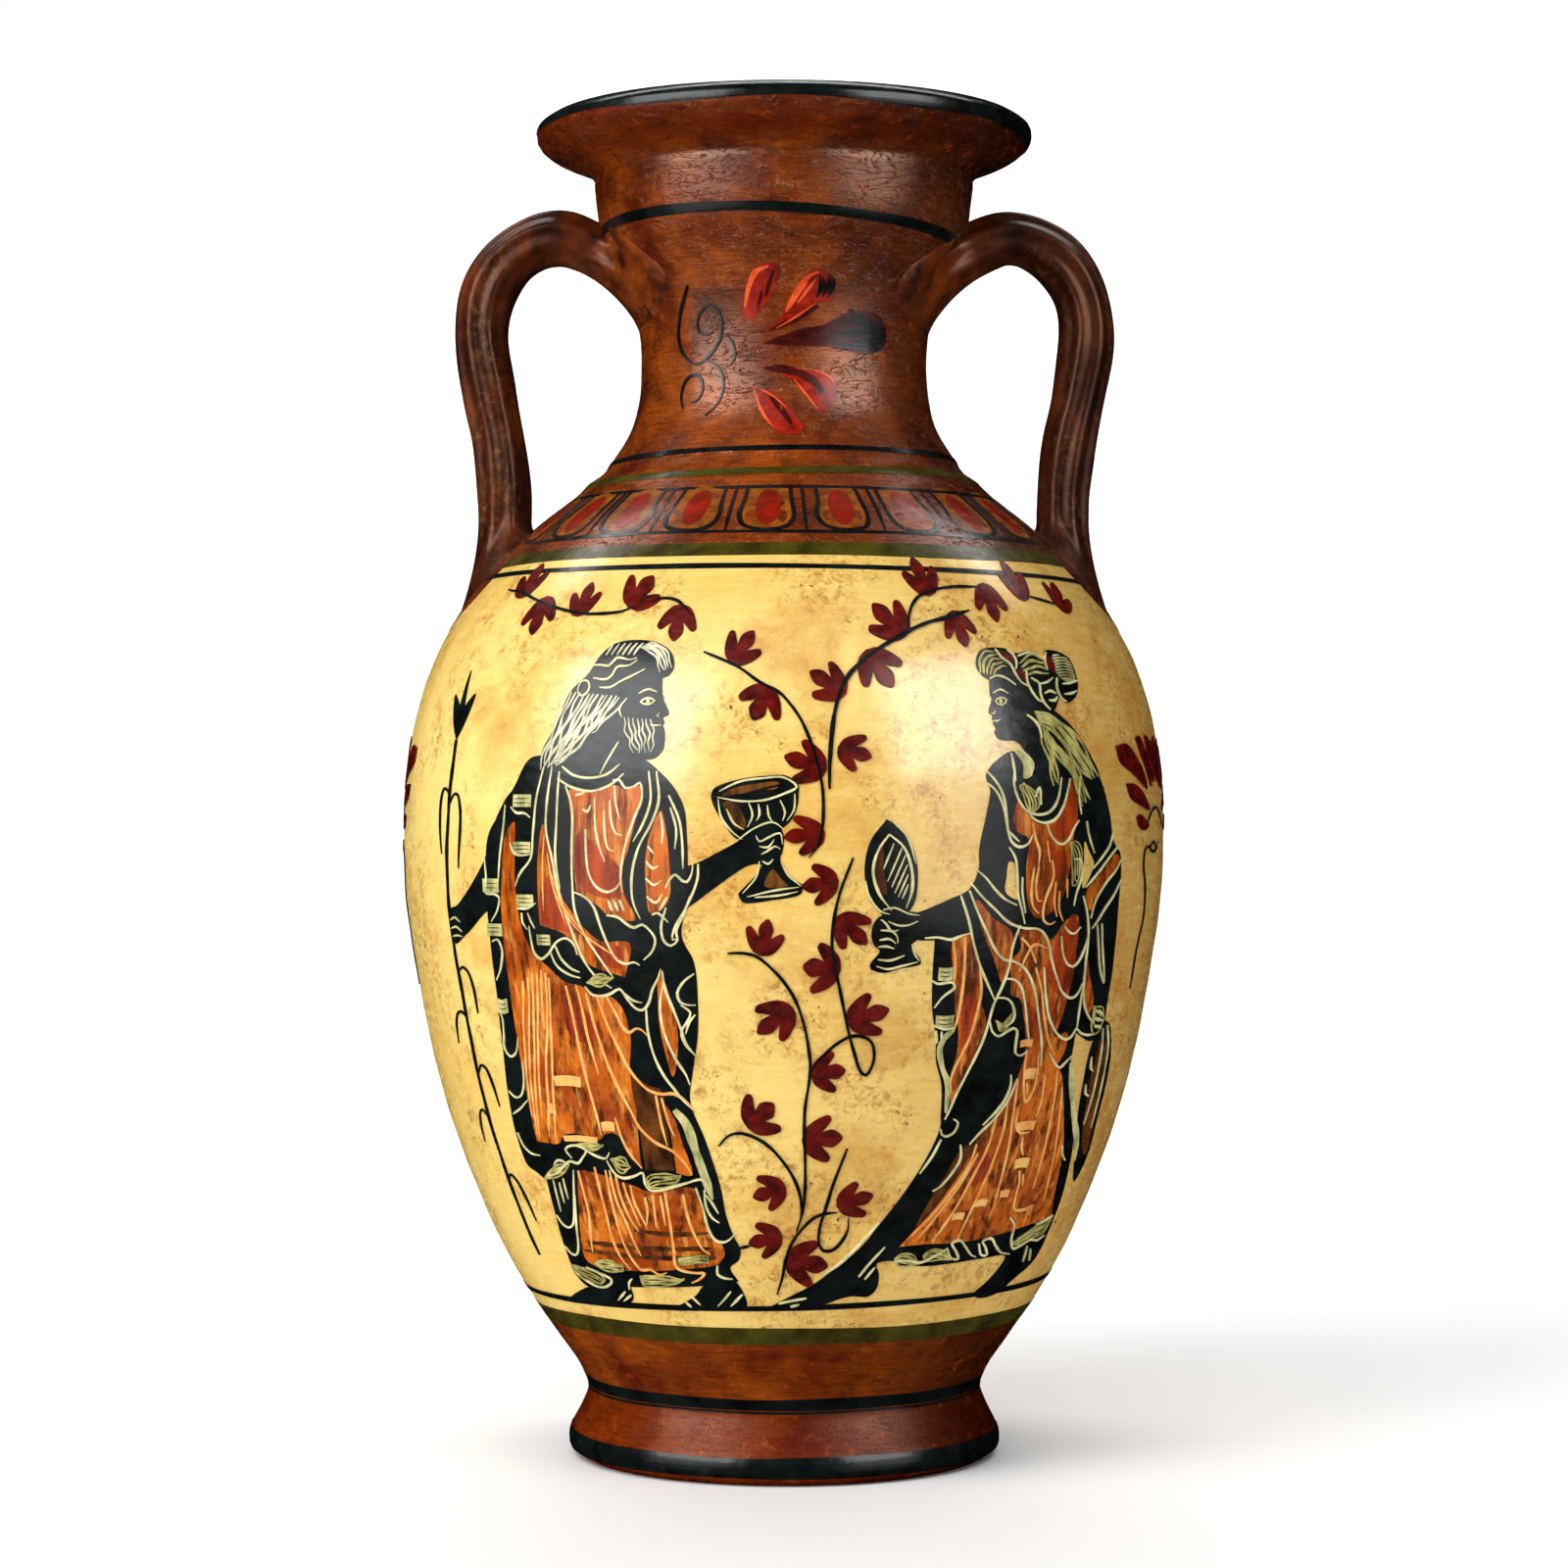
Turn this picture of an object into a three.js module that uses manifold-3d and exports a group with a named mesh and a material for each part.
// A two-handled neck amphora, thrown in five sections and luted together with slip,
// with two pulled and ribbed handles luted on afterwards.
// Millimetres, +Z up, origin at the centre of the face that the foot rests on.
// The handles lie along X, so a painted side faces -Y and the other one +Y.

import * as THREE from 'three';
import { mergeVertices } from 'three/addons/utils/BufferGeometryUtils.js';
import Module from 'manifold-3d';

const wasm = await Module();
wasm.setup();

// Driving dimensions
const FACETS = 48;              // facets round each thrown section
const WALL = 5;                 // thickness of the thrown wall, square to it
const SLIP_GAP = 0.3;           // room that the slip fills at each luted joint
const BELLY_GAP = 0.36;         // the same room, measured upwards on the belly joint's bevel
const MOUTH_GAP = 0.42;         // and on the mouth joint's bevel
const JOINT_RISE = 3;           // height of the bevel on a luted rim
const FOOT_JOINT_Z = 17;        // top face of the foot ring
const BELLY_JOINT_Z = 138;      // outer edge of the joint at the widest belly
const NECK_JOINT_Z = 216.6;     // flat rim of the shoulder, where the neck sits
const MOUTH_JOINT_Z = 274.4;    // outer edge of the joint between neck and mouth
const FLOOR_Z = 23;             // top of the floor inside
const BOWL_INNER_Z = 28;        // where the bowl's inner wall starts to rise
const SHOULDER_INNER_Z = 207;   // where the shoulder's inner wall ends, under the rim
const FLANGE_TOP_Z = 220.2;     // top of the flange that the neck sits on
const SHAFT_Z = 223;            // where the neck's shaft rises from its flange
const BORE_Z = 224;             // where the neck's bore starts to follow the outside
const REGISTER_R = 31;          // boss under the floor that centres the foot ring
const REGISTER_Z = 12.8;        // underside of that boss
const SPIGOT_R = 36;            // hole in the shoulder that takes the neck's spigot
const SPIGOT_Z = 211.5;         // lower end of the spigot
const SPIGOT_BORE = 32;         // bore of the spigot
const FLOOR_CURVE = [[40, 24], [30, FLOOR_Z]];  // inside corner of the bowl, as [radius, height]

// The outside of the pot as [height, radius], from the waist above the foot to the neck's rim.
const OUTSIDE = [
  [15.6, 44.3], [19.5, 45.8], [26.8, 50.7], [35.7, 56.9], [44.7, 62.2], [62.5, 70.3], [84.6, 77.7],
  [106.7, 82.3], [124.3, 84.9], [139.7, 85.6], [155.1, 84.7], [168.3, 82.3], [181.6, 77.3],
  [195.0, 68.7], [208.3, 55.7], [216.2, 46.0], [218.3, 44.0], [220.2, 41.3], [223.9, 38.6],
  [230.6, 34.5], [237.2, 32.7], [244.0, 32.2], [256.0, 33.3], [266.0, 36.9], [274.4, 41.1],
];

// Turned outlines that aren't a height-to-radius curve, as [radius, height].
const FOOT_OUTSIDE = [
  [39.5, 0], [45.4, 0], [47.7, 1.3], [48.6, 3.8], [48.1, 6.4], [46.7, 9.1], [45.4, 11.8],
  [44.4, 14.6], [44.6, FOOT_JOINT_Z],
];
const FOOT_INSIDE = [[REGISTER_R, FOOT_JOINT_Z], [REGISTER_R, 12], [34.5, 7.5], [37.8, 2]];
const MOUTH_OUTSIDE = [
  [41.4, MOUTH_JOINT_Z + SLIP_GAP], [42.3, 281.5], [42.8, 286], [43.3, 288.4], [46.4, 290.4],
  [52.1, 292.5], [55.0, 294.6], [55.8, 296.8], [55.0, 299], [53, 300],
];
const MOUTH_INSIDE = [[49.5, 300], [46.5, 298.4], [41.5, 291.5], [37.8, 283.5]];

// The handle: centre line as [distance from the axis, height], from inside the neck wall over
// the top and down to inside the shoulder, and a ribbed section.
const HANDLE_LINE = [
  [30, 259], [38.5, 268.3], [44, 272.2], [49.8, 274.2], [55.2, 273.5], [61.9, 269.4],
  [66.6, 262.4], [68.4, 253], [66.7, 239], [64.6, 228], [63.3, 217], [63.2, 208], [63.8, 196],
];
const HANDLE_STEPS = 28;
const HANDLE_HALF_DEPTH = 6.1;  // radially, from the axis of the pot
const HANDLE_HALF_WIDTH = 7.4;  // along Y
const RIBS = 8;
const RIB_HEIGHT = 0.45;
const RIB_FADE = 2.5;           // how soon the ribs die away towards the neck's side
const POINTS_PER_RIB = 4;

// The clay smeared round each end of a handle: ellipsoids, as half sizes, centre and tilt.
const UPPER_ROOT = { halves: [9, 19, 12.5], at: [31.5, 265], tilt: 0.2 };
const LOWER_ROOT = { halves: [5.5, 11, 15], at: [64.2, 198.5], tilt: -0.62 };
const ROOT_FACETS = 18;
const ROOT_RINGS = 12;

// The stretch of the pot that a handle is cut to fit.
const FIT_LOW_Z = 180;
const FIT_HIGH_Z = 290;

// Radius of the outside at height z: a smooth cubic through the stations of OUTSIDE.
function outsideRadius(z) {
  const last = OUTSIDE.length - 1;
  const secant = (k) => (OUTSIDE[k + 1][1] - OUTSIDE[k][1]) / (OUTSIDE[k + 1][0] - OUTSIDE[k][0]);
  const width = (k) => OUTSIDE[k + 1][0] - OUTSIDE[k][0];
  const slope = (k) => {
    if (k === 0) return secant(0);
    if (k === last) return secant(last - 1);
    return (secant(k - 1) * width(k) + secant(k) * width(k - 1)) / (width(k - 1) + width(k));
  };
  let i = 0;
  while (i < last - 1 && z > OUTSIDE[i + 1][0]) i += 1;
  const t = (z - OUTSIDE[i][0]) / width(i);
  const rise = OUTSIDE[i + 1][1] - OUTSIDE[i][1];
  const start = slope(i) * width(i);
  const end = slope(i + 1) * width(i);
  return OUTSIDE[i][1] + t * (start + t * (3 * rise - 2 * start - end + t * (start + end - 2 * rise)));
}

// The outline from one height to another, moved square to itself by offset (inwards is negative).
function outline(from, to, steps, offset = 0) {
  const points = [];
  for (let k = 0; k <= steps; k += 1) {
    const z = from + ((to - from) * k) / steps;
    const lean = (outsideRadius(z + 0.1) - outsideRadius(z - 0.1)) / 0.2;
    const length = Math.hypot(1, lean);
    points.push([outsideRadius(z) + offset / length, z - (offset * lean) / length]);
  }
  return points;
}

// A body of revolution about Z from [radius, height] points, in order anticlockwise as seen with
// the radius to the right. An outline that leaves the axis closes on itself.
function turned(points) {
  const closed = points[0][0] === 0 ? points : [...points, points[0]];
  const profile = closed.map(([radius, height]) => new THREE.Vector2(radius, height));
  return new THREE.LatheGeometry(profile, FACETS).rotateX(Math.PI / 2);
}

// A closed geometry as a manifold-3d solid, with its shared corners merged.
function solidFrom(geometry) {
  const bare = geometry.clone();
  bare.deleteAttribute('normal');
  bare.deleteAttribute('uv');
  const merged = mergeVertices(bare, 1e-4);
  const corners = merged.index.array;
  const kept = [];
  for (let k = 0; k < corners.length; k += 3) {
    const [a, b, c] = [corners[k], corners[k + 1], corners[k + 2]];
    if (a !== b && b !== c && c !== a) kept.push(a, b, c);
  }
  return new wasm.Manifold(new wasm.Mesh({
    numProp: 3,
    vertProperties: new Float32Array(merged.attributes.position.array),
    triVerts: new Uint32Array(kept),
  }));
}

function geometryFrom(solid) {
  const mesh = solid.getMesh();
  const geometry = new THREE.BufferGeometry();
  geometry.setAttribute('position', new THREE.BufferAttribute(mesh.vertProperties, 3));
  geometry.setIndex(new THREE.BufferAttribute(mesh.triVerts, 1));
  geometry.computeVertexNormals();
  return geometry;
}

function footRing() {
  return turned([...FOOT_OUTSIDE, ...FOOT_INSIDE]);
}

// The bowl: a floor with a boss that drops into the foot ring, and a wall with a bevelled rim.
function lowerBody() {
  const seat = FOOT_JOINT_Z + SLIP_GAP;
  const boss = REGISTER_R - SLIP_GAP;
  return turned([
    [0, REGISTER_Z], [boss, REGISTER_Z], [boss, seat],
    ...outline(seat, BELLY_JOINT_Z, 13),
    ...outline(BELLY_JOINT_Z + JOINT_RISE, BOWL_INNER_Z, 9, -WALL),
    ...FLOOR_CURVE, [0, FLOOR_Z],
  ]);
}

// The shoulder: a wall bevelled to sit on the bowl, closing to a flat rim with a round hole.
function upperBody() {
  const start = BELLY_JOINT_Z + BELLY_GAP;
  return turned([
    ...outline(start, NECK_JOINT_Z, 12),
    [SPIGOT_R, NECK_JOINT_Z], [SPIGOT_R, SPIGOT_Z],
    ...outline(SHOULDER_INNER_Z, start + JOINT_RISE, 7, -WALL),
  ]);
}

// The neck: a spigot and a flange that sit in and on the shoulder, and a bevelled rim.
function neck() {
  const seat = NECK_JOINT_Z + SLIP_GAP;
  const spigot = SPIGOT_R - SLIP_GAP;
  const bore = outline(MOUTH_JOINT_Z - JOINT_RISE, BORE_Z, 7, -WALL);
  return turned([
    [SPIGOT_BORE, SPIGOT_Z], [spigot, SPIGOT_Z], [spigot, seat],
    ...outline(seat, FLANGE_TOP_Z, 2), ...outline(SHAFT_Z, MOUTH_JOINT_Z, 9),
    ...bore.filter(([radius]) => radius < SPIGOT_BORE + WALL),
  ]);
}

// The mouth: a collar on the neck's bevelled rim, and an everted lip with a flat top.
function mouth() {
  const [innerR, innerZ] = outline(MOUTH_JOINT_Z - JOINT_RISE, MOUTH_JOINT_Z, 1, -WALL)[0];
  return turned([...MOUTH_OUTSIDE, ...MOUTH_INSIDE, [innerR, innerZ + MOUTH_GAP]]);
}

// The ribbed section of the handle: an oval with round ribs, smooth where it faces the neck.
function handleSection() {
  const points = [];
  const count = RIBS * POINTS_PER_RIB;
  for (let k = 0; k < count; k += 1) {
    const turn = (2 * Math.PI * k) / count;
    const ribbed = Math.min(1, RIB_FADE * (0.5 + 0.5 * Math.cos(turn)));
    const swell = -RIB_HEIGHT * Math.cos(RIBS * turn) * ribbed;
    const across = (HANDLE_HALF_WIDTH + swell) * Math.sin(turn);
    const outwards = (HANDLE_HALF_DEPTH + swell) * Math.cos(turn);
    points.push(new THREE.Vector2(across, outwards));
  }
  return new THREE.Shape(points);
}

function rootPad({ halves, at, tilt }) {
  return new THREE.SphereGeometry(1, ROOT_FACETS, ROOT_RINGS)
    .scale(...halves)
    .rotateY(tilt)
    .translate(at[0], 0, at[1]);
}

// One handle on the +X side, cut clear of the pot by the slip's thickness.
function handle() {
  const line = HANDLE_LINE.map(([distance, height]) => new THREE.Vector3(distance, 0, height));
  const strap = new THREE.ExtrudeGeometry(handleSection(), {
    steps: HANDLE_STEPS,
    bevelEnabled: false,
    extrudePath: new THREE.CatmullRomCurve3(line, false, 'centripetal'),
  });
  const collar = MOUTH_OUTSIDE[2][0] + SLIP_GAP;
  const pot = turned([
    [0, FIT_LOW_Z],
    ...outline(FIT_LOW_Z, NECK_JOINT_Z, 10, SLIP_GAP),
    ...outline(NECK_JOINT_Z + 1, MOUTH_JOINT_Z - 1, 13, SLIP_GAP),
    [collar, MOUTH_JOINT_Z], [collar, FIT_HIGH_Z], [0, FIT_HIGH_Z],
  ]);
  return solidFrom(strap)
    .add(solidFrom(rootPad(UPPER_ROOT)))
    .add(solidFrom(rootPad(LOWER_ROOT)))
    .subtract(solidFrom(pot));
}

const brownPaint = { color: 0x7a3a17, roughness: 0.32, metalness: 0 };
const creamGround = { color: 0xe6cf8c, roughness: 0.36, metalness: 0 };
const darkPaint = { color: 0x3c1a0e, roughness: 0.34, metalness: 0 };

function piece(name, geometry, finish) {
  const mesh = new THREE.Mesh(geometry, new THREE.MeshStandardMaterial(finish));
  mesh.name = name;
  return mesh;
}

const amphora = new THREE.Group();
amphora.add(
  piece('foot_ring', footRing(), brownPaint),
  piece('lower_body', lowerBody(), creamGround),
  piece('upper_body', upperBody(), creamGround),
  piece('neck', neck(), brownPaint),
  piece('mouth', mouth(), brownPaint),
);
const handleGeometry = geometryFrom(handle());
const rightHandle = piece('handle_right', handleGeometry, darkPaint);
const leftHandle = piece('handle_left', handleGeometry.clone(), darkPaint);
leftHandle.rotation.z = Math.PI;
amphora.add(rightHandle, leftHandle);

export default amphora;
